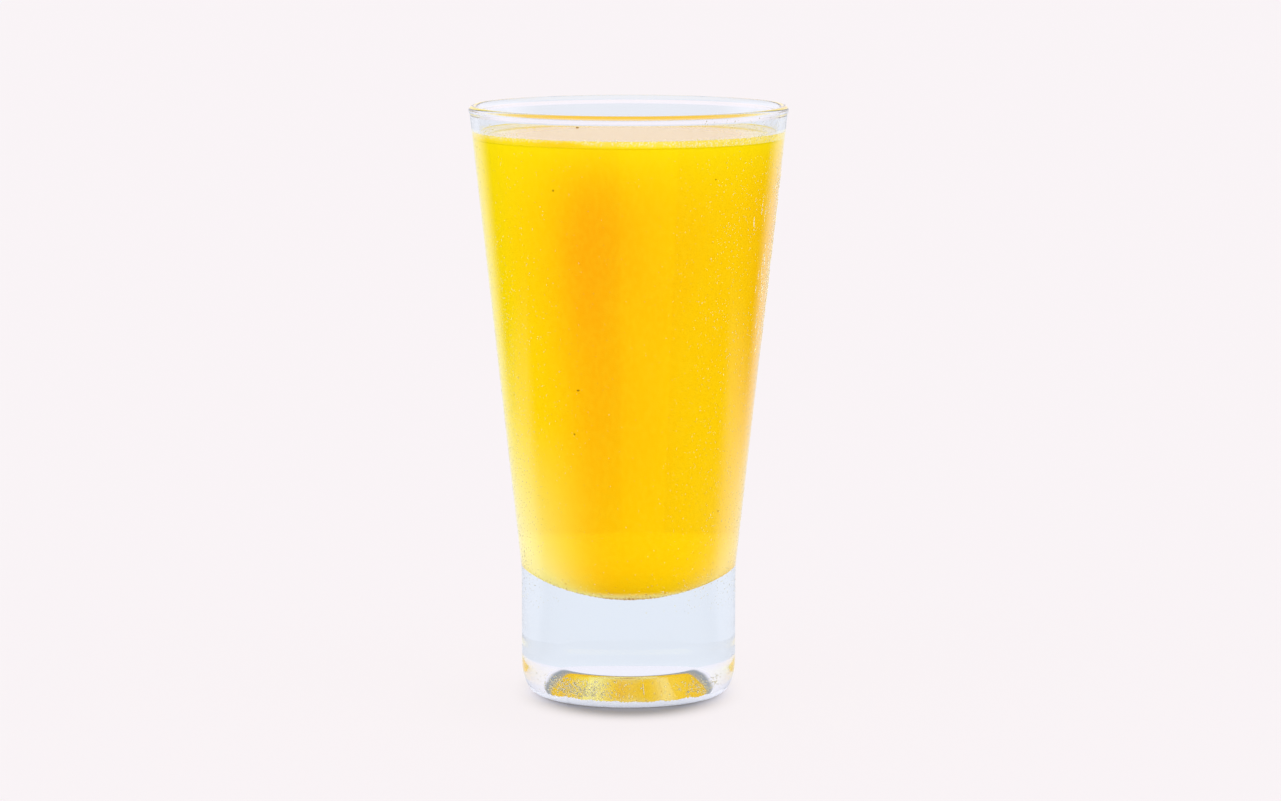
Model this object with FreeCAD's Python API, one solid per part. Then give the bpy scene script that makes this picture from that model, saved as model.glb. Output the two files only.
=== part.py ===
import FreeCAD, Part

import math
import os

from FreeCAD import Vector

# A tall tapered drinking glass on a thick straight foot, filled with mango juice.
# Millimetres. The origin is the centre of the foot's bearing plane and +Z is the glass's axis.
# Every outline lies in the XZ plane, with X as the radius, and is turned about Z.

# ---- Outside of the glass ---------------------------------------------------------
overall_height = 158.0
rim_radius = 42.5  # where the tapered face would reach the full height
waist_radius = 28.75  # of the straight foot
waist_height = 33.5  # top of the straight foot, where the taper begins
waist_blend = 50.0  # radius that softens this corner
heel_width = 4.2  # rounded lower edge of the foot, measured inwards
heel_height = 8.4  # and measured upwards
punt_radius = 20.0  # push-up in the underside, where its flank would meet the bearing plane
punt_depth = 7.0
punt_flank = 41.0  # degrees, between its flank and the bearing plane
punt_crown_blend = 3.0  # radius between its level crown and its flank
punt_edge = 1.5  # radius between its flank and the bearing ring

# ---- Wall and lip -----------------------------------------------------------------
wall_at_rim = 2.1
wall_at_waist = 2.8
lip_swell = 0.18  # how far the fire-polished lip stands proud of each face
lip_blend = 4.0  # radius that runs the swell out into the faces

# ---- Cavity floor, dished like a tank end -----------------------------------------
base_thickness = 26.8  # bearing plane to the lowest point of the cavity
dish_radius = 29.0
knuckle_radius = 12.0  # between the dish and the wall

# ---- Drink ------------------------------------------------------------------------
freeboard = 7.6  # top of the glass down to the drink's flat surface
meniscus_radius = 3.0
contact_angle = 35.0  # degrees, between the wall and the edge of the drink
froth_depth = 0.9  # below the drink's flat surface, at the axis
froth_drift = 0.3  # deeper by this much at the wall on the +X side, shallower opposite
froth_gap_depth = 0.35  # how much shallower at the thin spot beside the wall
froth_gap_width = 5.0
froth_gap_angle = 244.0  # degrees from +X
froth_sheet_overhang = 5.0  # how far the parting sheet runs out past the drink
froth_sheet_points = 25  # along each of its sides

AXIS_UP = Vector(0, 0, 1)


# ---- Drawing an outline -----------------------------------------------------------
def point(radius, height):
    return Vector(radius, 0, height)


def segment(start, end):
    return Part.LineSegment(start, end).toShape()


def arc_about(centre, start, end):
    """The shorter arc from start to end about centre."""
    middle = (start - centre) + (end - centre)
    middle.normalize()
    return Part.Arc(start, centre + middle * (start - centre).Length, end).toShape()


def blend(before, corner, after, radius):
    """The arc that rounds the corner between two straight runs: its start, its centre, its end."""
    back = (before - corner).normalize()
    onward = (after - corner).normalize()
    half_angle = back.getAngle(onward) / 2
    reach = radius / math.tan(half_angle)
    centre = corner + (back + onward).normalize() * (radius / math.sin(half_angle))
    return corner + back * reach, centre, corner + onward * reach


def quarter_ellipse(start, corner, end):
    """Tangent at its ends to the sides of the right angle at corner, as an exact conic."""
    curve = Part.BezierCurve()
    curve.setPoles([start, corner, end])
    curve.setWeight(2, math.sqrt(0.5))
    return curve.toShape()


def turned(edges):
    """The solid that a closed outline sweeps about the axis."""
    outline = Part.Wire(Part.__sortEdges__(edges))
    return Part.Face(outline).revolve(Vector(0, 0, 0), AXIS_UP, 360)


class Wall:
    """One tapered face of the glass, seen as a line with a normal on its air or drink side."""

    def __init__(self, low, high, facing):
        self.low = low
        self.high = high
        self.up = (high - low).normalize()
        self.normal = Vector(self.up.z, 0, -self.up.x) * facing

    def at_height(self, height):
        return self.low + self.up * ((height - self.low.z) / self.up.z)


outer_wall = Wall(point(waist_radius, waist_height), point(rim_radius, overall_height), 1)
inner_wall = Wall(
    point(waist_radius - wall_at_waist, waist_height),
    point(rim_radius - wall_at_rim, overall_height),
    -1,
)


# ---- Lip: a bead on the wall's centre line, run out into both faces ----------------
lip_radius = wall_at_rim / 2 + lip_swell
lip_centre = (
    outer_wall.at_height(overall_height - lip_radius) + inner_wall.at_height(overall_height - lip_radius)
) / 2


def lip_runout(wall):
    """The hollow arc from a face up onto the lip: its start, its centre, its end."""
    half_wall = (wall.low - lip_centre).dot(wall.normal)
    sideways = half_wall + lip_blend
    drop = math.sqrt((lip_radius + lip_blend) ** 2 - sideways**2)
    centre = lip_centre + wall.normal * sideways - wall.up * drop
    top = lip_centre + (centre - lip_centre).normalize() * lip_radius
    return centre - wall.normal * lip_blend, centre, top


# ---- Foot -------------------------------------------------------------------------
def underside(ring_outside):
    """From the middle of the push-up's crown, down its flank, to the bearing ring's outer edge."""
    crown = point(0, punt_depth)
    shoulder = point(punt_radius - punt_depth / math.tan(math.radians(punt_flank)), punt_depth)
    toe = point(punt_radius, 0)
    shoulder_start, shoulder_centre, shoulder_end = blend(crown, shoulder, toe, punt_crown_blend)
    toe_start, toe_centre, toe_end = blend(shoulder, toe, ring_outside, punt_edge)
    return [
        segment(crown, shoulder_start),
        arc_about(shoulder_centre, shoulder_start, shoulder_end),
        segment(shoulder_end, toe_start),
        arc_about(toe_centre, toe_start, toe_end),
        segment(toe_end, ring_outside),
    ]


# ---- Cavity -----------------------------------------------------------------------
def knuckle():
    """The dish's centre, and the arc from dish to wall: its start, its centre, its end."""
    dish_centre = point(0, base_thickness + dish_radius)
    track = inner_wall.low + inner_wall.normal * knuckle_radius - dish_centre
    along = track.dot(inner_wall.up)
    reach = dish_radius - knuckle_radius
    centre = dish_centre + track - inner_wall.up * (along + math.sqrt(along**2 - track.dot(track) + reach**2))
    start = dish_centre + (centre - dish_centre).normalize() * dish_radius
    return dish_centre, start, centre, centre - inner_wall.normal * knuckle_radius


def cavity_edges(top):
    """The cavity's outline from the middle of its floor up the wall to the point top."""
    dish_centre, dish_end, knuckle_centre, knuckle_end = knuckle()
    return [
        arc_about(dish_centre, point(0, base_thickness), dish_end),
        arc_about(knuckle_centre, dish_end, knuckle_end),
        segment(knuckle_end, top),
    ]


# ---- Glass ------------------------------------------------------------------------
def make_glass():
    ring_outside = point(waist_radius - heel_width, 0)
    heel_top = point(waist_radius, heel_height)
    waist_start, waist_centre, waist_end = blend(heel_top, outer_wall.low, outer_wall.high, waist_blend)
    outer_top, outer_centre, lip_outside = lip_runout(outer_wall)
    inner_top, inner_centre, lip_inside = lip_runout(inner_wall)
    outside = [
        quarter_ellipse(ring_outside, point(waist_radius, 0), heel_top),
        segment(heel_top, waist_start),
        arc_about(waist_centre, waist_start, waist_end),
        segment(waist_end, outer_top),
        arc_about(outer_centre, outer_top, lip_outside),
        Part.Arc(lip_outside, lip_centre + AXIS_UP * lip_radius, lip_inside).toShape(),
        arc_about(inner_centre, lip_inside, inner_top),
    ]
    middle = segment(point(0, base_thickness), point(0, punt_depth))
    return turned(underside(ring_outside) + outside + cavity_edges(inner_top) + [middle])


# ---- Drink ------------------------------------------------------------------------
drink_level = overall_height - freeboard


def make_drink():
    """Juice and froth together: the cavity filled to the level, with the edge drawn up the wall."""
    lean = math.atan2(inner_wall.up.x, inner_wall.up.z)
    climb_angle = math.pi / 2 - lean - math.radians(contact_angle)
    contact = inner_wall.at_height(drink_level + meniscus_radius * (1 - math.cos(climb_angle)))
    flat_end = point(contact.x - meniscus_radius * math.sin(climb_angle), drink_level)
    edges = [
        arc_about(flat_end + AXIS_UP * meniscus_radius, flat_end, contact),
        segment(flat_end, point(0, drink_level)),
        segment(point(0, drink_level), point(0, base_thickness)),
    ]
    return turned(edges + cavity_edges(contact))


def froth_underside(x, y):
    """Height at which the juice ends and the froth begins."""
    wall_radius = inner_wall.at_height(drink_level).x
    gap_x = wall_radius * math.cos(math.radians(froth_gap_angle))
    gap_y = wall_radius * math.sin(math.radians(froth_gap_angle))
    gap_distance = math.hypot(x - gap_x, y - gap_y) / froth_gap_width
    depth = froth_depth + froth_drift * x / wall_radius
    depth -= froth_gap_depth * math.exp(-(gap_distance**2) / 2)
    return drink_level - depth


def froth_room():
    """Everything above the sheet that parts froth from juice."""
    half = rim_radius + froth_sheet_overhang
    steps = froth_sheet_points - 1
    places = [-half + 2 * half * i / steps for i in range(froth_sheet_points)]
    surface = Part.BSplineSurface()
    surface.interpolate([[Vector(x, y, froth_underside(x, y)) for y in places] for x in places])
    return surface.toShape().extrude(AXIS_UP * (freeboard + froth_depth))


def make_parts():
    drink = make_drink()
    above = froth_room()
    return {
        "glass": make_glass(),
        "juice": drink.cut(above),
        "froth": drink.common(above),
    }


os.makedirs("parts", exist_ok=True)
for node, shape in make_parts().items():
    solid = shape.Solids[0]
    solid.exportStep(f"parts/{node}.step")
    print(f"{node}: {len(shape.Solids)} solid, {solid.Volume / 1000:.2f} cm3, valid {solid.isValid()}")
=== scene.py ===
import math
import random

import bmesh
import bpy
import numpy as np
from mathutils import Matrix, Vector, noise


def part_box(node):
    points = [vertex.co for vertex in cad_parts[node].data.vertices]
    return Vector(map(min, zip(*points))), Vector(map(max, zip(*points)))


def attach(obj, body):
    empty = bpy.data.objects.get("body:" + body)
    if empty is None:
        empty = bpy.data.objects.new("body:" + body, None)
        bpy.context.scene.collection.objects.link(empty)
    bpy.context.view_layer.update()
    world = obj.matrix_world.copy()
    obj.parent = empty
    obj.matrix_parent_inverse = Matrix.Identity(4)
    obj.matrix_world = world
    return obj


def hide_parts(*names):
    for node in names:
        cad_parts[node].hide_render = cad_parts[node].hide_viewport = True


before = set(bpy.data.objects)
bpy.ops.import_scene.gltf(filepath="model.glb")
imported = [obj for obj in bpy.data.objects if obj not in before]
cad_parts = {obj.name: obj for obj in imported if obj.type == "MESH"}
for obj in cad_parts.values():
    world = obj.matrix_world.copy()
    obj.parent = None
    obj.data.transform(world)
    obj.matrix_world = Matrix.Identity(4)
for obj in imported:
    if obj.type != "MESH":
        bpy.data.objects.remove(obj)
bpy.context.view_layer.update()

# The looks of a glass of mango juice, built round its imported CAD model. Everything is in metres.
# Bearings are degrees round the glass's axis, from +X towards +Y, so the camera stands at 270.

MM = 0.001
TURNS = 256  # facets round each turned piece
THIN_SPOT = 243  # bearing of the gap in the froth
DEEP_SIDE = 342  # bearing at which the froth reaches lowest
BITE = 0.25 * MM  # how far what fills the glass reaches into its wall
STAND_OFF = 0.004 * MM  # how far what clings to the outside of the glass stays off it


# ---- Outlines: (radius, height) rows, read from the CAD model --------------------------
SAME = 1e-7  # places nearer to each other than this count as one
DIGITS = 7  # after the point, to which places are rounded before they are compared


def seam_outline(node):
    """The node's turned outline, read along the seam of its mesh from its first to its last point."""
    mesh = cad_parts[node].data
    ends = {}
    for edge in mesh.edges:
        a, b = (mesh.vertices[i].co for i in edge.vertices)
        if max(abs(a.y), abs(b.y)) > SAME or min(a.x, b.x) < -SAME:
            continue
        a, b = ((round(p.x, DIGITS), round(p.z, DIGITS)) for p in (a, b))
        if a != b:
            ends.setdefault(a, set()).add(b)
            ends.setdefault(b, set()).add(a)
    here = min((p for p in ends if len(ends[p]) == 1), key=lambda p: p[1])
    row = [(0, here[1])] if here[0] else []  # a flat end may have no point on the axis
    row.append(here)
    while True:
        ahead = [p for p in ends[here] if p not in row[-2:]]
        if not ahead:
            return np.array(row)
        here = ahead[0]
        row.append(here)


def refined(row, pieces=3):
    """The same outline with points added on a smooth curve through its points, level at its ends."""
    chord = np.zeros_like(row)
    chord[0] = (1, 0)
    chord[1:-1] = row[2:] - row[:-2]
    chord[-1] = (-1, 0)
    chord /= np.linalg.norm(chord, axis=1)[:, None]
    out = [row[0]]
    for a, b, way_a, way_b in zip(row[:-1], row[1:], chord[:-1], chord[1:]):
        length = np.linalg.norm(b - a)
        for i in range(1, pieces + 1):
            t = i / pieces
            out.append(
                (2 * t**3 - 3 * t**2 + 1) * a
                + (t**3 - 2 * t**2 + t) * length * way_a
                + (3 * t**2 - 2 * t**3) * b
                + (t**3 - t**2) * length * way_b
            )
    return np.array(out)


def supported(row, reach=0.25 * MM, longest=3 * MM):
    """The same outline with a point near each end of its long straight runs, so that normals stay true."""
    out = [row[0]]
    for a, b in zip(row[:-1], row[1:]):
        length = np.linalg.norm(b - a)
        if length > longest:
            out += [a + (b - a) * reach / length, b - (b - a) * reach / length]
        out.append(b)
    return np.array(out)


def offset(row, distance):
    """The outline moved sideways by distance, to the right of its direction."""
    way = np.gradient(row, axis=0)
    way /= np.linalg.norm(way, axis=1)[:, None]
    return row + distance * np.stack([way[:, 1], -way[:, 0]], axis=1)


def below(row, height):
    """The part of a rising outline below a height, ended exactly at it."""
    radius = np.interp(height, row[:, 1], row[:, 0])
    return np.vstack([row[row[:, 1] < height - SAME], [[radius, height]]])


# ---- Meshes ----------------------------------------------------------------------------
def add_mesh(name, points, faces):
    mesh = bpy.data.meshes.new(name)
    mesh.from_pydata([tuple(p) for p in points], [], [tuple(f) for f in faces])
    mesh.update()
    piece = bpy.data.objects.new(name, mesh)
    bpy.context.scene.collection.objects.link(piece)
    for polygon in mesh.polygons:
        polygon.use_smooth = True
    return piece


def joined(name, shapes):
    """One piece from many small shapes, each a pair of an array of points and an array of faces."""
    points, faces, count = [], [], 0
    for shape_points, shape_faces in shapes:
        points.extend(shape_points)
        faces.extend(shape_faces + count)
        count += len(shape_points)
    return add_mesh(name, points, faces)


def turned(name, row):
    """A closed solid turned from an outline whose two ends lie on the axis."""
    angles = [2 * math.pi * i / TURNS for i in range(TURNS)]
    points = [(0, 0, row[0][1])]
    for radius, height in row[1:-1]:
        points += [(radius * math.cos(a), radius * math.sin(a), height) for a in angles]
    points.append((0, 0, row[-1][1]))
    last_ring = 1 + (len(row) - 3) * TURNS
    last = len(points) - 1
    faces = []
    for i in range(TURNS):
        j = (i + 1) % TURNS
        faces.append((0, 1 + j, 1 + i))
        for low in range(1, last_ring, TURNS):
            high = low + TURNS
            faces.append((low + i, low + j, high + j, high + i))
        faces.append((last_ring + i, last_ring + j, last))
    piece = add_mesh(name, points, faces)
    face_outwards(piece)
    return piece


def face_outwards(piece):
    work = bmesh.new()
    work.from_mesh(piece.data)
    bmesh.ops.recalc_face_normals(work, faces=work.faces)
    work.to_mesh(piece.data)
    work.free()


def ball(detail):
    """A unit ball's points and faces."""
    work = bmesh.new()
    bmesh.ops.create_icosphere(work, subdivisions=detail, radius=1.0)
    points = np.array([v.co[:] for v in work.verts])
    faces = np.array([[v.index for v in f.verts] for f in work.faces])
    work.free()
    return points, faces


def dome(sides=6):
    """A low unit dome along X, closed by a flat base, as points and faces."""
    turn = [2 * math.pi * i / sides for i in range(sides)]
    rims = [(0.0, 1.0), (0.75, 0.7)]  # height and radius of its base and of the ring above it
    points = [(lift, wide * math.cos(t), wide * math.sin(t)) for lift, wide in rims for t in turn]
    points += [(1, 0, 0), (0, 0, 0)]
    top, middle = 2 * sides, 2 * sides + 1
    faces = []
    for i in range(sides):
        j = (i + 1) % sides
        faces += [(i, j, sides + j), (i, sides + j, sides + i)]
        faces += [(sides + i, sides + j, top), (j, i, middle)]
    return np.array(points, dtype=float), np.array(faces)


# ---- Node trees ------------------------------------------------------------------------
def srgb(*levels):
    """Linear colour from three sRGB levels of 0 to 255."""
    shares = [level / 255 for level in levels]
    return tuple(c / 12.92 if c <= 0.04045 else ((c + 0.055) / 1.055) ** 2.4 for c in shares)


def grey(level):
    return (level, level, level)


class Nodes:
    """A node tree, with short calls for the nodes used here."""

    def __init__(self, owner, output="ShaderNodeOutputMaterial"):
        self.owner = owner
        owner.use_nodes = True
        self.tree = owner.node_tree
        self.tree.nodes.clear()
        self.output = self.add(output)

    def add(self, kind, **settings):
        node = self.tree.nodes.new(kind)
        for key, value in settings.items():
            setattr(node, key, value)
        return node

    def put(self, socket, value):
        """Links a socket to another, or sets it to a number, a vector or a colour."""
        if isinstance(value, bpy.types.NodeSocket):
            self.tree.links.new(value, socket)
        elif socket.type == "RGBA":
            socket.default_value = (*value, 1)
        else:
            socket.default_value = value

    def fill(self, node, *values, **named):
        """Puts values into a node's inputs, in order or by name with _ for a space; its first output."""
        for socket, value in zip(node.inputs, values):
            self.put(socket, value)
        for name, value in named.items():
            self.put(node.inputs[name.replace("_", " ")], value)
        return node.outputs[0]

    def shader(self, kind, **inputs):
        return self.fill(self.add(kind), **inputs)

    def principled(self, **inputs):
        return self.shader("ShaderNodeBsdfPrincipled", **inputs)

    def blended(self, share, first, second):
        """Two shaders mixed by share."""
        return self.fill(self.add("ShaderNodeMixShader"), share, first, second)

    def maths(self, operation, *values, clamp=False):
        return self.fill(self.add("ShaderNodeMath", operation=operation, use_clamp=clamp), *values)

    def times(self, first, second):
        return self.maths("MULTIPLY", first, second)

    def larger(self, first, second):
        return self.maths("MAXIMUM", first, second)

    def total(self, values):
        result = values[0]
        for value in values[1:]:
            result = self.maths("ADD", result, value)
        return result

    def length(self, *sides):
        """Of the diagonal over sides at right angles."""
        return self.maths("SQRT", self.total([self.maths("POWER", side, 2.0) for side in sides]))

    def vectors(self, operation, *values, output="Vector"):
        node = self.add("ShaderNodeVectorMath", operation=operation)
        self.fill(node, *values)
        return node.outputs[output]

    def place(self, kind="Object"):
        return self.add("ShaderNodeTexCoord").outputs[kind]

    def split(self, vector):
        """A vector's X, Y and Z, by name."""
        node = self.add("ShaderNodeSeparateXYZ")
        self.fill(node, vector)
        return node.outputs

    def axes(self):
        """X, Y and Z of the place in metres."""
        return self.split(self.place())

    def bearing(self):
        """The level unit vector from the axis towards the place."""
        return self.vectors("NORMALIZE", self.vectors("MULTIPLY", self.place(), (1, 1, 0)))

    def towards(self, degrees, sharpness):
        """1 on the side that faces a bearing, falling to 0 away from it."""
        angle = math.radians(degrees)
        way = (math.cos(angle), math.sin(angle), 0)
        facing = self.vectors("DOT_PRODUCT", self.bearing(), way, output="Value")
        return self.maths("POWER", self.larger(facing, 0.0), sharpness)

    def bulges(self, row):
        """The sum of swellings towards bearings: (bearing, sharpness, size) for each."""
        return self.total([self.times(self.towards(degrees, k), size) for degrees, k, size in row])

    def smooth(self, value, low, high, start=0.0, end=1.0):
        """Rises smoothly from start at low to end at high."""
        node = self.add("ShaderNodeMapRange", interpolation_type="SMOOTHSTEP")
        return self.fill(node, Value=value, From_Min=low, From_Max=high, To_Min=start, To_Max=end)

    def mix(self, kind, share, first, second):
        """Two colours or numbers mixed by share; kind is Color or Float."""
        node = self.add("ShaderNodeMix", data_type={"Color": "RGBA", "Float": "FLOAT"}[kind])
        inputs = {socket.identifier: socket for socket in node.inputs}
        self.put(inputs["Factor_Float"], share)
        self.put(inputs["A_" + kind], first)
        self.put(inputs["B_" + kind], second)
        return next(socket for socket in node.outputs if socket.identifier == "Result_" + kind)

    def mixed(self, share, first, second):
        return self.mix("Color", share, first, second)

    def mixed_number(self, share, first, second):
        return self.mix("Float", share, first, second)

    def noise(self, size, detail=2.0, stretch=(1, 1, 1)):
        """Cloudy numbers round 0.5, with features of a size in metres."""
        scale = tuple(1 / (size * k) for k in stretch)
        place = self.fill(self.add("ShaderNodeMapping"), Vector=self.place(), Scale=scale)
        return self.fill(self.add("ShaderNodeTexNoise"), Vector=place, Scale=1.0, Detail=detail)

    def wander(self, spread, size, detail=2.0, stretch=(1, 1, 1)):
        """Cloudy numbers round 0, with a spread."""
        return self.maths("MULTIPLY_ADD", self.noise(size, detail, stretch), spread, -spread / 2)

    def cells(self, size):
        """0 at the middle of each cell of a size in metres, rising to about 1 at its edge."""
        return self.fill(self.add("ShaderNodeTexVoronoi"), Vector=self.place(), Scale=1 / size)

    def height_ramp(self, stops):
        """A colour by height: stops are (height in mm, sRGB levels)."""
        low, high = stops[0][0], stops[-1][0]
        ramp = self.add("ShaderNodeValToRGB")
        ramp.color_ramp.interpolation = "B_SPLINE"
        elements = ramp.color_ramp.elements
        for height, _ in stops[1:-1]:
            elements.new((height - low) / (high - low))
        for element, (_, levels) in zip(elements, stops):
            element.color = (*srgb(*levels), 1)
        spread = self.add("ShaderNodeMapRange")
        share = self.fill(spread, Value=self.axes()["Z"], From_Min=low * MM, From_Max=high * MM)
        return self.fill(ramp, share)

    def bump(self, height, depth):
        return self.fill(self.add("ShaderNodeBump"), Height=height, Distance=depth)

    def rays(self, *kinds):
        """1 for rays of any of these kinds."""
        path = self.add("ShaderNodeLightPath")
        result = path.outputs[kinds[0]]
        for kind in kinds[1:]:
            result = self.larger(result, path.outputs[kind])
        return result

    def finish(self, surface):
        self.put(self.output.inputs["Surface"], surface)
        return self.owner


def material(name):
    return Nodes(bpy.data.materials.new(name))


# ---- Glass and water -------------------------------------------------------------------
def clear_to_lamps(nodes, shader, inwards, outwards):
    """Lets lamps and scattered light straight through a glass-like shader, dimmed on the way in or out."""
    path = nodes.add("ShaderNodeLightPath")
    leaving = nodes.add("ShaderNodeNewGeometry").outputs["Backfacing"]
    for kind in ("Is Shadow Ray", "Is Diffuse Ray"):
        through = nodes.mixed(leaving, grey(inwards), grey(outwards))
        clear = nodes.shader("ShaderNodeBsdfTransparent", Color=through)
        shader = nodes.blended(path.outputs[kind], shader, clear)
    return nodes.finish(shader)


def glass_material():
    nodes = material("clear_glass")
    shader = nodes.principled(
        Base_Color=(0.985, 0.993, 1.0), Roughness=0.0, IOR=1.51, Transmission_Weight=1.0
    )
    tint = nodes.shader("ShaderNodeVolumeAbsorption", Color=(0.0, 0.6, 1.0), Density=1.3)
    nodes.put(nodes.output.inputs["Volume"], tint)
    return clear_to_lamps(nodes, shader, inwards=0.8, outwards=0.97)


def water_material(name, clearness, ior=1.13):
    """Drops of water, through which a share of the light passes; the rest of it they scatter, pale yellow,
    which is also a painted highlight on them.
    """
    nodes = material(name)
    shader = nodes.principled(
        Base_Color=(1.0, 0.97, 0.78), Roughness=0.15, IOR=ior, Transmission_Weight=clearness
    )
    return clear_to_lamps(nodes, shader, inwards=1.0, outwards=1.0)


def wear_and_reflection_material():
    nodes = material("ground_glass_and_reflection")
    # pale ground glass, which is also a painted reflection of the floor in the heel's edge
    colour = nodes.mixed(nodes.noise(0.5 * MM, 2.0), srgb(226, 231, 242), srgb(246, 249, 255))
    return nodes.finish(nodes.principled(Base_Color=colour, Roughness=0.9, IOR=1.2))


# ---- Juice -----------------------------------------------------------------------------
# The juice's colour by height, between the columns of painted orange shade and in them: (height in mm,
# sRGB levels). Both are lighter near the top, and the orange one near the bottom too: painted light coming
# in through the froth above and the foot below.
YELLOW = [
    (26, (254, 206, 4)),
    (60, (254, 206, 4)),
    (110, (254, 203, 4)),
    (134, (254, 206, 4)),
    (146, (254, 216, 4)),
    (152, (255, 230, 8)),
]
ORANGE = [
    (26, (254, 198, 3)),
    (60, (253, 189, 4)),
    (100, (252, 175, 8)),
    (126, (252, 165, 10)),
    (140, (253, 182, 6)),
    (152, (255, 226, 8)),
]
# Where the juice is painted more orange as shade, in upright columns: (bearing, sharpness, share).
ORANGE_SHADE_COLUMNS = [
    (253, 30, 0.72),
    (272, 11, 0.45),
    (352, 9, 0.35),
    (60, 6, 0.5),
    (126, 16, 0.6),
    (176, 7, 0.2),
]
# painted light: a lighter yellow on the left flank, which faces the left lamp
LEFT_FLANK_PAINTED_LIGHT = srgb(253, 231, 6)
PULP = srgb(255, 226, 40)
# paler juice low on the flanks to the left and to the right
PALE_LOW_FLANKS = srgb(255, 242, 160)
# painted light: the juice's floor paler, lit through the foot
UNDERSIDE_PAINTED_LIGHT = srgb(255, 240, 150)
# brown at the front of the juice's floor: settled pulp in grains, and painted shade
SETTLED_PULP_AND_SHADE = srgb(190, 120, 30)


def juice_colour(nodes, bottom):
    """Yellow between columns of painted orange shade, with painted light on its left flank and underneath,
    paler low on its flanks, and a brown of settled pulp and painted shade at the front of its floor.
    """
    clouds = nodes.wander(0.5, 18 * MM, 2.0, (1, 1, 2.5))
    # painted shade: the juice turns orange in the columns
    share = nodes.maths("ADD", nodes.bulges(ORANGE_SHADE_COLUMNS), clouds, clamp=True)
    # painted light by height: lighter near the top and, in the orange, near the bottom
    colour = nodes.mixed(share, nodes.height_ramp(YELLOW), nodes.height_ramp(ORANGE))
    # painted light on the left flank
    colour = nodes.mixed(nodes.towards(185, 7), colour, LEFT_FLANK_PAINTED_LIGHT)
    pulp = nodes.smooth(nodes.noise(1.1 * MM, 3.0, (1, 1, 1.8)), 0.35, 0.7, 0.0, 0.10)
    colour = nodes.mixed(pulp, colour, PULP)
    above = nodes.maths("SUBTRACT", nodes.axes()["Z"], bottom)
    flanks = nodes.larger(nodes.towards(192, 6), nodes.times(nodes.towards(352, 12), 0.6))
    pale_low = nodes.times(flanks, nodes.smooth(above, 53.2 * MM, 7.2 * MM, 0.0, 0.75))
    colour = nodes.mixed(pale_low, colour, PALE_LOW_FLANKS)
    # painted light on the juice's floor
    colour = nodes.mixed(nodes.smooth(above, 3.2 * MM, 1.2 * MM, 0.0, 0.8), colour, UNDERSIDE_PAINTED_LIGHT)
    grains = nodes.smooth(nodes.noise(0.6 * MM, 1.0), 0.4, 0.6, 0.3, 1.0)
    # settled pulp and painted shade, browner at the front of the juice's floor
    settled = nodes.times(nodes.smooth(above, 1.5 * MM, 0.4 * MM, 0.0, 0.8), nodes.towards(268, 3))
    return nodes.mixed(nodes.times(settled, grains), colour, SETTLED_PULP_AND_SHADE)


def juice_material(bottom):
    nodes = material("mango_juice")
    colour = juice_colour(nodes, bottom)
    return nodes.finish(nodes.principled(Base_Color=colour, Roughness=0.5, IOR=1.05))


def pulp_material():
    nodes = material("dark_pulp")
    colour = nodes.mixed(nodes.noise(0.3 * MM, 1.0), srgb(120, 84, 10), srgb(190, 136, 14))
    return nodes.finish(nodes.principled(Base_Color=colour, Roughness=0.6, IOR=1.05))


def settled_material():
    nodes = material("settled_pulp")
    shade = nodes.smooth(nodes.noise(0.4 * MM, 1.0), 0.42, 0.58)
    colour = nodes.mixed(shade, srgb(198, 134, 36), srgb(255, 246, 205))
    return nodes.finish(nodes.principled(Base_Color=colour, Roughness=0.5, IOR=1.05))


# ---- Froth -----------------------------------------------------------------------------
# Where the froth reaches lower at the wall: (bearing, sharpness, depth).
FROTH_BULGES = [
    (DEEP_SIDE, 4.0, 1.5 * MM),
    (218, 5.0, -0.5 * MM),
    (80, 2.0, 0.6 * MM),
    (THIN_SPOT, 60.0, -0.5 * MM),
]
FOAM = srgb(255, 246, 200)
FOAM_GAPS = srgb(254, 228, 90)
FROTH_SIDE = srgb(254, 225, 12)
FROTH_SIDE_THIN = srgb(253, 211, 9)
FROTH_TOP = srgb(251, 198, 8)
CLIMBING_FILM = srgb(255, 240, 206)


def foam_at_side(nodes, level):
    """How foamy the froth is where it meets the wall: more above a ragged line."""
    ragged = nodes.maths("MULTIPLY_ADD", nodes.noise(3.5 * MM, 4.0), 1.4 * MM, -0.4 * MM)
    depth = nodes.maths("ADD", nodes.bulges(FROTH_BULGES), ragged)
    rise = nodes.maths("ADD", nodes.maths("SUBTRACT", nodes.axes()["Z"], level), depth)
    return nodes.smooth(rise, -0.5 * MM, 0.6 * MM, 0.0, 0.75)


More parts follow.
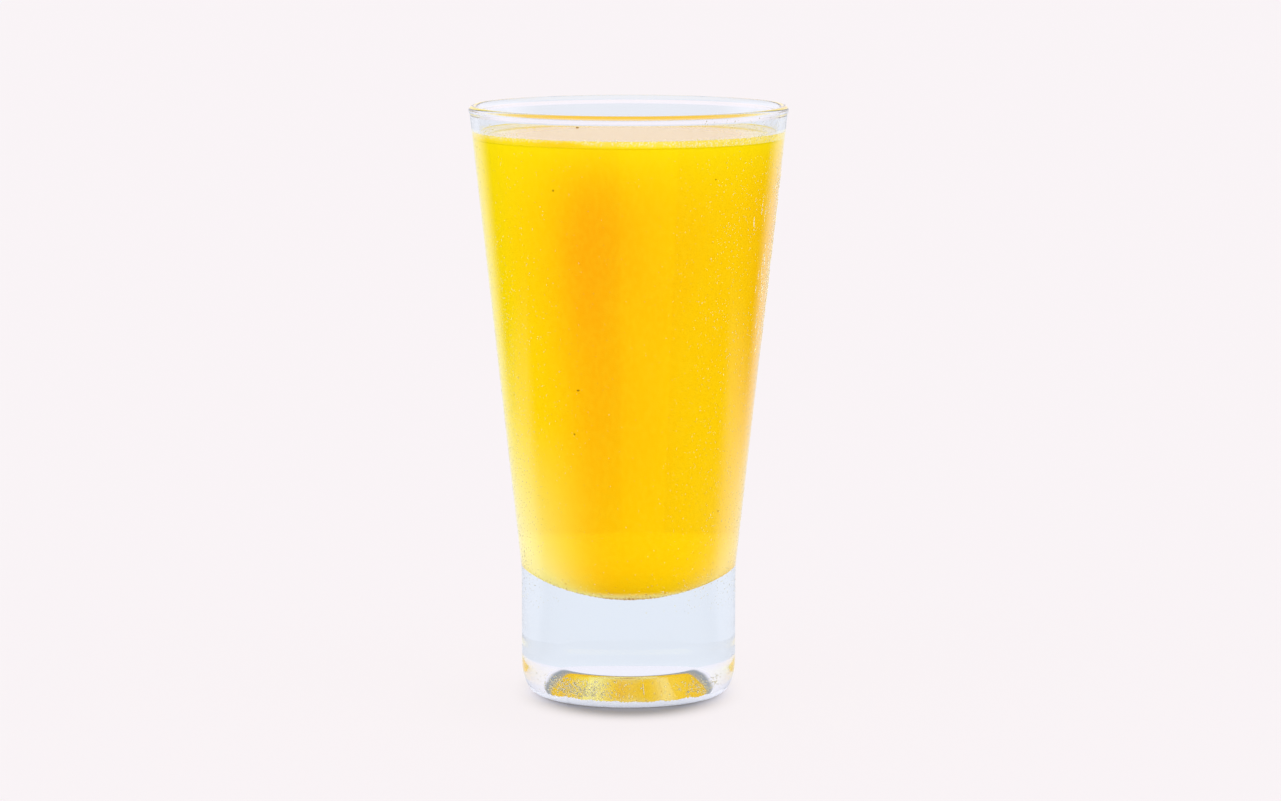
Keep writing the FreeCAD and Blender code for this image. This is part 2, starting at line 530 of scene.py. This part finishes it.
def froth_material(level, wall):
    """Clean juice in the middle, cream film towards the +X and -X walls, and bubbles along the edge."""
    nodes = material("juice_froth")
    axes = nodes.axes()
    radius = nodes.length(axes["X"], axes["Y"])
    on_top = nodes.maths("LESS_THAN", radius, wall - 0.2 * MM)
    uneven_radius = nodes.maths("ADD", radius, nodes.wander(3 * MM, 5 * MM, 4.0))
    ring = nodes.smooth(uneven_radius, wall - 1.9 * MM, wall - 0.4 * MM, 0.0, 0.6)
    drifting_radius = nodes.maths("ADD", radius, nodes.wander(16 * MM, 9 * MM, 5.0))
    aside = nodes.larger(nodes.towards(0, 3.0), nodes.towards(180, 3.0))
    crescents = nodes.times(nodes.smooth(drifting_radius, 0.72 * wall, 0.97 * wall), aside)
    foam = nodes.mixed_number(on_top, foam_at_side(nodes, level), nodes.larger(ring, crescents))
    bubbles = nodes.smooth(nodes.cells(0.55 * MM), 0.15, 0.6)
    side = nodes.mixed(nodes.towards(THIN_SPOT, 40.0), FROTH_SIDE, FROTH_SIDE_THIN)
    clean = nodes.mixed(on_top, side, FROTH_TOP)
    colour = nodes.mixed(foam, clean, nodes.mixed(bubbles, FOAM, FOAM_GAPS))
    climbing = nodes.times(on_top, nodes.smooth(radius, wall - 3.4 * MM, wall - 1.6 * MM))
    colour = nodes.mixed(climbing, colour, CLIMBING_FILM)
    relief = nodes.bump(nodes.times(ring, bubbles), -0.03 * MM)
    return nodes.finish(nodes.principled(Base_Color=colour, Roughness=0.06, IOR=1.34, Normal=relief))


def bubble_material():
    nodes = material("froth_bubble")
    shade = nodes.smooth(nodes.noise(0.8 * MM, 0.0), 0.35, 0.65)
    colour = nodes.mixed(shade, srgb(255, 240, 150), srgb(255, 250, 226))
    return nodes.finish(nodes.principled(Base_Color=colour, Roughness=0.4, IOR=1.2))


# ---- The glass and what fills it -------------------------------------------------------
glass_row = seam_outline("glass")
ring_edge = int(np.flatnonzero(glass_row[:, 1] < SAME)[-1])  # outer edge of the bearing ring
lip = int(np.argmax(glass_row[:, 1]))
cavity = refined(glass_row[lip:][::-1])
cavity_wall = cavity[: int(np.argmax(cavity[:, 1]))]

juice_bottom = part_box("juice")[0].z
froth_low, froth_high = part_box("froth")
seam = froth_low.z + 0.4 * MM  # where juice and froth meet at the wall
# The drink's edge, from its line on the wall: (mm inwards, mm down).
MENISCUS = [(0, 0), (0.35, 0.42), (0.9, 0.75), (1.7, 0.95), (2.5, 1.0)]
level = froth_high.z - MENISCUS[-1][1] * MM


def inside_radius(height):
    return float(np.interp(height, cavity_wall[:, 1], cavity_wall[:, 0]))


def make_tumbler():
    return turned("tumbler", supported(refined(glass_row)))


def make_juice():
    side = offset(cavity_wall, BITE)
    side[0] = (0, side[0][1])
    return turned("juice_fill", supported(np.vstack([below(side, seam), [[0, seam]]])))


def make_froth():
    """A layer whose lower edge lies just behind the juice's upper one."""
    side = offset(cavity_wall, BITE - 0.01 * MM)  # a hair inside the juice's side
    low = seam - 0.1 * MM
    lower_edge = below(side, low)[-1] + [(-0.5 * MM, 0), (0, 0.03 * MM), (0, 0.08 * MM)]
    upper_edge = [below(side, froth_high.z - drop)[-1] for drop in (0.05 * MM, 0)]
    film = [(froth_high.x - inwards * MM, froth_high.z - down * MM) for inwards, down in MENISCUS]
    flat = [(froth_high.x * 0.5, level), (0, level)]
    return turned("froth_layer", np.vstack([[[0, low]], lower_edge, upper_edge, film, flat]))


def dress(piece, look):
    """Gives a piece its material, and the body that it rides on."""
    piece.data.materials.append(look)
    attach(piece, "root")


for make, look, node in (
    (make_tumbler, glass_material(), "glass"),
    (make_juice, juice_material(juice_bottom), "juice"),
    (make_froth, froth_material(level, froth_high.x), "froth"),
):
    piece = make()
    dress(piece, look)
    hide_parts(node)


# ---- Places round the axis -------------------------------------------------------------
def round_axis(radius, angle, height):
    return np.array([radius * math.cos(angle), radius * math.sin(angle), height])


def turned_frame(angle, lean=0.0):
    """Rows: outwards, sideways and up at an angle round the axis, leaned back by lean."""
    out = np.array([math.cos(angle) * math.cos(lean), math.sin(angle) * math.cos(lean), -math.sin(lean)])
    side = np.array([-math.sin(angle), math.cos(angle), 0.0])
    return np.array([out, side, np.cross(out, side)])


def outer_wall_at(height, probe=0.05 * MM):
    """The glass's outer radius at a height, and the angle by which its face leans out there."""
    rising = glass_row[ring_edge : lip + 1]
    heights = [height - probe, height, height + probe]
    radius_below, radius, radius_above = np.interp(heights, rising[:, 1], rising[:, 0])
    return float(radius), math.atan2(float(radius_above - radius_below), 2 * probe)


def cloud(seed, angle, fineness, height=0.0):
    """A smooth number from about -1 to 1 that wanders round the axis."""
    place = Vector((math.cos(angle) * fineness, math.sin(angle) * fineness, height))
    return noise.noise(place + Vector((seed, seed * 0.37, -seed)))


def bell(value, middle, width):
    """1 at a middle bearing or height, falling off to 0 on both sides of it."""
    away = (value - middle + 180) % 360 - 180
    return math.exp(-((away / width) ** 2))


# ---- Bubbles ---------------------------------------------------------------------------
WALL_BUBBLES = 900
TOP_BUBBLES = 500


def ring_density(degrees):
    """How thickly bubbles crowd the wall: most in front, none at the thin spot, few at the deep side."""
    angle = math.radians(degrees)
    crowd = 0.6 + 0.5 * cloud(3.1, angle, 5)
    crowd -= 1.3 * bell(degrees, THIN_SPOT, 7) + 0.7 * bell(degrees, DEEP_SIDE, 24)
    in_front = 1 / (1 + math.exp(12 * (math.sin(angle) + 0.45)))
    return max(0.0, crowd) * (0.12 + 0.88 * in_front)


def crowded_bearings(draw, count):
    """Bearings for bubbles, each drawn only when it is asked for."""
    found = 0
    while found < count:
        degrees = draw.uniform(0, 360)
        if draw.random() <= ring_density(degrees):
            found += 1
            yield degrees


def make_wall_bubbles():
    """Bubbles that cling to the inside of the glass along the drink's edge and just above it."""
    draw = random.Random(11)
    points, faces = ball(1)
    shapes = []
    for degrees in crowded_bearings(draw, WALL_BUBBLES):
        radius = draw.triangular(0.06, 0.3, 0.12) * MM
        height = level + (draw.gauss(-0.1, 0.4) + abs(draw.gauss(0, 0.5))) * MM
        reach = inside_radius(height) - radius * 0.6
        shapes.append((round_axis(reach, math.radians(degrees), height) + radius * points, faces))
    return joined("wall_bubbles", shapes)


def make_top_bubbles():
    """Bubbles afloat in a ring along the wall, on the drink's drawn-up edge and inside it."""
    draw = random.Random(12)
    points, faces = ball(1)
    edge_width = MENISCUS[-1][0] * MM
    shapes = []
    for degrees in crowded_bearings(draw, TOP_BUBBLES):
        radius = draw.triangular(0.1, 0.45, 0.16) * MM
        inwards = 0.5 * MM + radius + abs(draw.gauss(0, 0.6)) * MM
        climb = max(0.0, 1 - inwards / edge_width) ** 2 * 0.8 * MM
        centre = round_axis(froth_high.x - inwards, math.radians(degrees), level + climb - radius * 0.3)
        shapes.append((centre + radius * points * [1, 1, 0.85], faces))
    return joined("top_bubbles", shapes)


# ---- Water and wear on the outside -----------------------------------------------------
DOME = dome()
DEW_DROPS = 8000
DEW_EDGE = 1.5 * MM  # how far dew stays from the lip's top and the heel's bottom
LIP_DEW = 150 * MM  # the lip's dew lies above this
DEW_TOP = 148 * MM  # the wall's dew lies below this
DEW_BOTTOM = 25 * MM  # and above this
HEEL_DEW = 8 * MM  # the heel's dew lies below this
HEEL_PATCHES = [(237, 9, 620), (252, 8, 160), (314, 9, 260)]  # bearing, spread and drops of each
RUNS = 90
RUNS_START = (98 * MM, 143 * MM)  # heights between which runs begin


def bead(angle, height, width, tall, thick):
    """A drop of water on the outside of the glass."""
    radius, lean = outer_wall_at(height)
    out, side, up = turned_frame(angle, lean)
    points, faces = DOME
    shape = points * (thick, width, tall) @ np.array([out, side, up])
    return round_axis(radius, angle, height) + out * STAND_OFF + shape, faces


def dew_density(degrees, height):
    """How thickly fine dew lies: most on the -X side below the middle, least in front and behind."""
    if height > DEW_TOP:
        return bell(degrees, 325, 22) if height > LIP_DEW else 0.0
    if height < DEW_BOTTOM:
        return 2.0 * bell(degrees, 236, 14) if height < HEEL_DEW else 0.0
    patch = 0.6 + 0.7 * cloud(7.7, math.radians(degrees), 3, height * 40)
    left = bell(degrees, 188, 38) * (0.3 + 0.7 * bell(height / MM, 62, 45))
    right = 0.35 * bell(degrees, 320, 30) + 0.5 * bell(degrees, 352, 16)
    return max(0.0, patch * max(left, right, 0.05))


def make_dew():
    """Fine dew, clear of the sharp corner where the heel turns under."""
    draw = random.Random(21)
    shapes = []
    while len(shapes) < DEW_DROPS:
        degrees = draw.uniform(0, 360)
        height = draw.uniform(DEW_EDGE, glass_row[lip, 1] - DEW_EDGE)
        if draw.random() > dew_density(degrees, height):
            continue
        width = draw.triangular(0.05, 0.2, 0.08) * MM
        tall = width * draw.uniform(1.0, 1.4)
        shapes.append(bead(math.radians(degrees), height, width, tall, width * 0.25))
    return joined("fine_dew", shapes)


def make_heel_drops():
    """Larger drops low on the heel, thick to the left of the front and sparse to its right."""
    draw = random.Random(23)
    shapes = []
    for middle, spread, count in HEEL_PATCHES:
        for _ in range(count):
            width = draw.triangular(0.07, 0.32, 0.12) * MM
            height = draw.triangular(2.2, 8.4, 4.5) * MM
            tall = width * draw.uniform(0.5, 1.1)
            shapes.append(bead(math.radians(draw.gauss(middle, spread)), height, width, tall, width * 0.5))
    return joined("heel_drops", shapes)


def make_runs():
    """Short trails of larger drops on the +X side, where the dew has begun to run."""
    draw = random.Random(22)
    shapes = []
    for _ in range(RUNS):
        angle = math.radians(draw.gauss(350, 7))
        height = draw.uniform(*RUNS_START)
        for _ in range(draw.randint(2, 8)):
            width = draw.uniform(0.08, 0.24) * MM
            tall = width * draw.uniform(1.2, 4.0)
            shapes.append(bead(angle, height, width, tall, width * 0.5))
            angle += draw.gauss(0, 0.006)
            height -= tall + draw.uniform(0.1, 0.8) * MM
    return joined("dew_runs", shapes)


def make_wear_and_reflection():
    """A thin ground ring with a ragged top round the heel's lowest edge, where it has rubbed; its pale
    colour is also a painted reflection of the floor in the heel's edge.
    """
    steps, rows = 720, 8  # points round the ring and up each face of it
    bottom = 0.08 * MM
    inner_face = [(row, STAND_OFF) for row in range(rows)]
    outer_face = [(row, 3 * STAND_OFF) for row in reversed(range(rows))]
    loop = inner_face + outer_face
    points = []
    for i in range(steps):
        angle = 2 * math.pi * i / steps
        top = (2.1 + 0.5 * cloud(5.3, angle, 9) + 0.35 * cloud(9.1, angle, 60)) * MM
        for row, lift in loop:
            height = bottom + (top - bottom) * row / (rows - 1)
            radius, lean = outer_wall_at(height)
            points.append(turned_frame(angle, lean)[0] * lift + round_axis(radius, angle, height))
    faces = []
    for i in range(steps):
        here = i * len(loop)
        ahead = (i + 1) % steps * len(loop)
        for k in range(len(loop)):
            j = (k + 1) % len(loop)
            faces.append((here + k, here + j, ahead + j, ahead + k))
    ring = add_mesh("heel_wear_and_reflection", points, faces)
    face_outwards(ring)
    return ring


# ---- Pulp ------------------------------------------------------------------------------
# Dark bits of pulp against the wall in front: (bearing, height in mm, radius in mm).
FRONT_SPECKS = [(240, 138.3, 0.26), (246.5, 85.6, 0.32), (243.5, 73.8, 0.26), (305, 141, 0.2)]
OTHER_SPECKS = 9
SETTLED_BITS = 520
SETTLED_REACH = 19 * MM  # from the axis


def make_specks():
    """Dark bits against the wall, and one afloat."""
    draw = random.Random(31)
    points, faces = ball(2)
    specks = list(FRONT_SPECKS)
    for _ in range(OTHER_SPECKS):
        specks.append((draw.uniform(-40, 220), draw.uniform(40, 145), draw.uniform(0.15, 0.32)))
    shapes = []
    for degrees, height, size in specks:
        angle = math.radians(degrees)
        centre = round_axis(inside_radius(height * MM) + BITE, angle, height * MM)
        stretch = np.array([0.12, draw.uniform(0.8, 1.3), draw.uniform(0.7, 1.2)]) * size * MM
        shapes.append((centre + points @ (turned_frame(angle) * stretch[:, None]), faces))
    afloat = np.array([-14 * MM, 21 * MM, level])
    shapes.append((afloat + points * [0.45 * MM, 0.45 * MM, 0.3 * MM], faces))
    return joined("pulp_specks", shapes)


def make_settlings():
    """Fine pulp settled on the floor of the glass."""
    draw = random.Random(51)
    points, faces = ball(1)
    skin = offset(cavity_wall, BITE)
    shapes = []
    while len(shapes) < SETTLED_BITS:
        x, y = draw.gauss(0, 9) * MM, draw.gauss(-2, 5) * MM
        radius = math.hypot(x, y)
        if radius > SETTLED_REACH:
            continue
        size = draw.triangular(0.09, 0.30, 0.14) * MM
        centre = np.array([x, y, np.interp(radius, skin[:, 0], skin[:, 1])])
        shapes.append((centre + points * [size, size, size * 0.6], faces))
    return joined("settled_pulp", shapes)


for make, look, slot in (
    (make_wall_bubbles, bubble_material(), "froth"),
    (make_top_bubbles, bubble_material(), "froth"),
    (make_dew, water_material("dew_water", 0.95), "glass"),
    (make_runs, water_material("run_water", 0.7), "glass"),
    (make_heel_drops, water_material("heel_water", 0.9, 1.33), "glass"),
    (make_wear_and_reflection, wear_and_reflection_material(), "glass"),
    (make_specks, pulp_material(), "juice"),
    (make_settlings, settled_material(), "juice"),
):
    detail = make()
    dress(detail, look)


# ---- Stage -----------------------------------------------------------------------------
BACKDROP = srgb(250, 244, 246)
BACKDROP_IN_GLASS = srgb(243, 246, 254)
DIM_SIDES = srgb(196, 200, 214)  # what glass shows to its sides and in front, which gives it edges
FLOOR = (0.79, 0.755, 0.79)
# painted shadow: the floor's colour round the foot
PAINTED_FLOOR_SHADOW = (0.12, 0.12, 0.125)
AMBIENT = (0.79, 0.81, 0.84)
STUDIO = (1.02, 0.97, 1.04)
STUDIO_IN_FRONT = (0.03, 0.03, 0.035)
STUDIO_OVERHEAD = (0.35, 0.36, 0.38)
MIRRORED = ("Is Glossy Ray", "Is Transmission Ray")
# distances from the foot's middle over which the painted shadow fades out
PAINTED_SHADOW_FADES = (22 * MM, 37 * MM)  # distances from the foot's middle
SHADE_FADES = (23 * MM, 40 * MM)


def plane(name, half_side, height):
    corners = [(-1, -1), (1, -1), (1, 1), (-1, 1)]
    return add_mesh(name, [(x * half_side, y * half_side, height) for x, y in corners], [(0, 1, 2, 3)])


def make_floor():
    """Pale, darker round the foot, where a painted shadow adds to the real one. Further off, the camera
    sees its colour with hardly any shade.
    """
    floor = plane("floor", half_side=9, height=-0.05 * MM)  # a film of air parts it from the foot
    nodes = material("pale_floor")
    axes = nodes.axes()
    sideways = nodes.times(axes["X"], 1.25)
    forward = nodes.larger(nodes.maths("SUBTRACT", nodes.maths("ABSOLUTE", axes["Y"]), 7 * MM), 0.0)
    away = nodes.length(sideways, forward)
    # painted shadow: the floor darkens round the foot
    base = nodes.mixed(nodes.smooth(away, *PAINTED_SHADOW_FADES, 0.6, 0.0), FLOOR, PAINTED_FLOOR_SHADOW)
    lit = nodes.principled(Base_Color=base, Roughness=1.0, IOR=1.0)
    behind = nodes.split(nodes.bearing())["Y"]
    in_glass = nodes.mixed(nodes.smooth(behind, -0.1, 0.6), DIM_SIDES, BACKDROP_IN_GLASS)
    mirrored = nodes.rays(*MIRRORED)
    plain = nodes.shader("ShaderNodeEmission", Color=nodes.mixed(mirrored, BACKDROP, in_glass))
    flat = nodes.times(nodes.rays("Is Camera Ray"), nodes.smooth(away, *SHADE_FADES, 0.0, 0.9))
    share = nodes.mixed_number(mirrored, flat, 0.9)
    floor.data.materials.append(nodes.finish(nodes.blended(share, lit, plain)))
    floor.visible_shadow = False  # lets the lamp under it through


def make_velvet():
    """Dark cloth that only mirror images show: in front of the glass, and further off beside it."""
    velvet = plane("velvet", half_side=4, height=1 * MM)
    nodes = material("black_velvet")
    axes = nodes.axes()
    away = nodes.length(axes["X"], axes["Y"])
    behind = nodes.split(nodes.bearing())["Y"]
    front = nodes.times(nodes.smooth(behind, 0.3, -0.05), nodes.smooth(away, 0.06, 0.12))
    beside = nodes.times(nodes.smooth(behind, 0.85, 0.55), nodes.smooth(away, 0.25, 0.5))
    black = nodes.principled(Base_Color=grey(0.01), Roughness=1.0, IOR=1.0)
    clear = nodes.shader("ShaderNodeBsdfTransparent")
    velvet.data.materials.append(nodes.finish(nodes.blended(nodes.larger(front, beside), clear, black)))
    for kind in ("camera", "diffuse", "transmission", "shadow", "volume_scatter"):
        setattr(velvet, "visible_" + kind, False)


def make_world():
    """Plain light from all round; what glass mirrors or bends is a white studio, dark in front."""
    world = bpy.data.worlds.new("studio")
    bpy.context.scene.world = world
    nodes = Nodes(world, "ShaderNodeOutputWorld")
    way = nodes.split(nodes.place("Generated"))
    studio = nodes.mixed(nodes.smooth(way["Y"], -0.4, 0.3), STUDIO_IN_FRONT, STUDIO)
    studio = nodes.mixed(nodes.smooth(way["Z"], 0.2, 0.5), studio, STUDIO_OVERHEAD)
    colour = nodes.mixed(nodes.rays(*MIRRORED), AMBIENT, studio)
    colour = nodes.mixed(nodes.rays("Is Camera Ray"), colour, BACKDROP)
    nodes.finish(nodes.shader("ShaderNodeBackground", Color=colour, Strength=1.0))


def lamp(name, bearing, climb, softness, strength):
    """A far soft lamp at a bearing and a climb, in degrees, that isn't mirrored in the glass."""
    data = bpy.data.lights.new(name, "SUN")
    data.angle = math.radians(softness)
    data.energy = strength
    piece = bpy.data.objects.new(name, data)
    bpy.context.scene.collection.objects.link(piece)
    piece.rotation_euler = (0, math.radians(90 - climb), math.radians(bearing))
    piece.visible_glossy = False
    piece.visible_transmission = False


def make_lamps():
    lamp("left_side", bearing=215, climb=14, softness=70, strength=0.9)
    lamp("right_side", bearing=340, climb=14, softness=70, strength=0.8)
    lamp("behind", bearing=90, climb=14, softness=70, strength=0.7)
    lamp("overhead", bearing=65, climb=82, softness=12, strength=0.5)
    lamp("light_table", bearing=268, climb=-72, softness=50, strength=1.4)


def make_camera():
    """In front of the glass and a little above it, at the photo's viewing angle."""
    place = Vector((0, -1.2243, 0.2426))
    target = Vector((0, 0, 0.0788))
    data = bpy.data.cameras.new("camera")
    data.sensor_width = 36.0
    data.lens = 129.53
    data.shift_x = 0.0093
    data.clip_start = 0.05
    camera = bpy.data.objects.new("camera", data)
    bpy.context.scene.collection.objects.link(camera)
    look = (target - place).to_track_quat("-Z", "Y").to_matrix().to_4x4()
    camera.matrix_world = Matrix.Translation(place) @ look
    bpy.context.scene.camera = camera


make_floor()
make_velvet()
make_world()
make_lamps()
make_camera()
bpy.context.scene.view_settings.view_transform = "Standard"
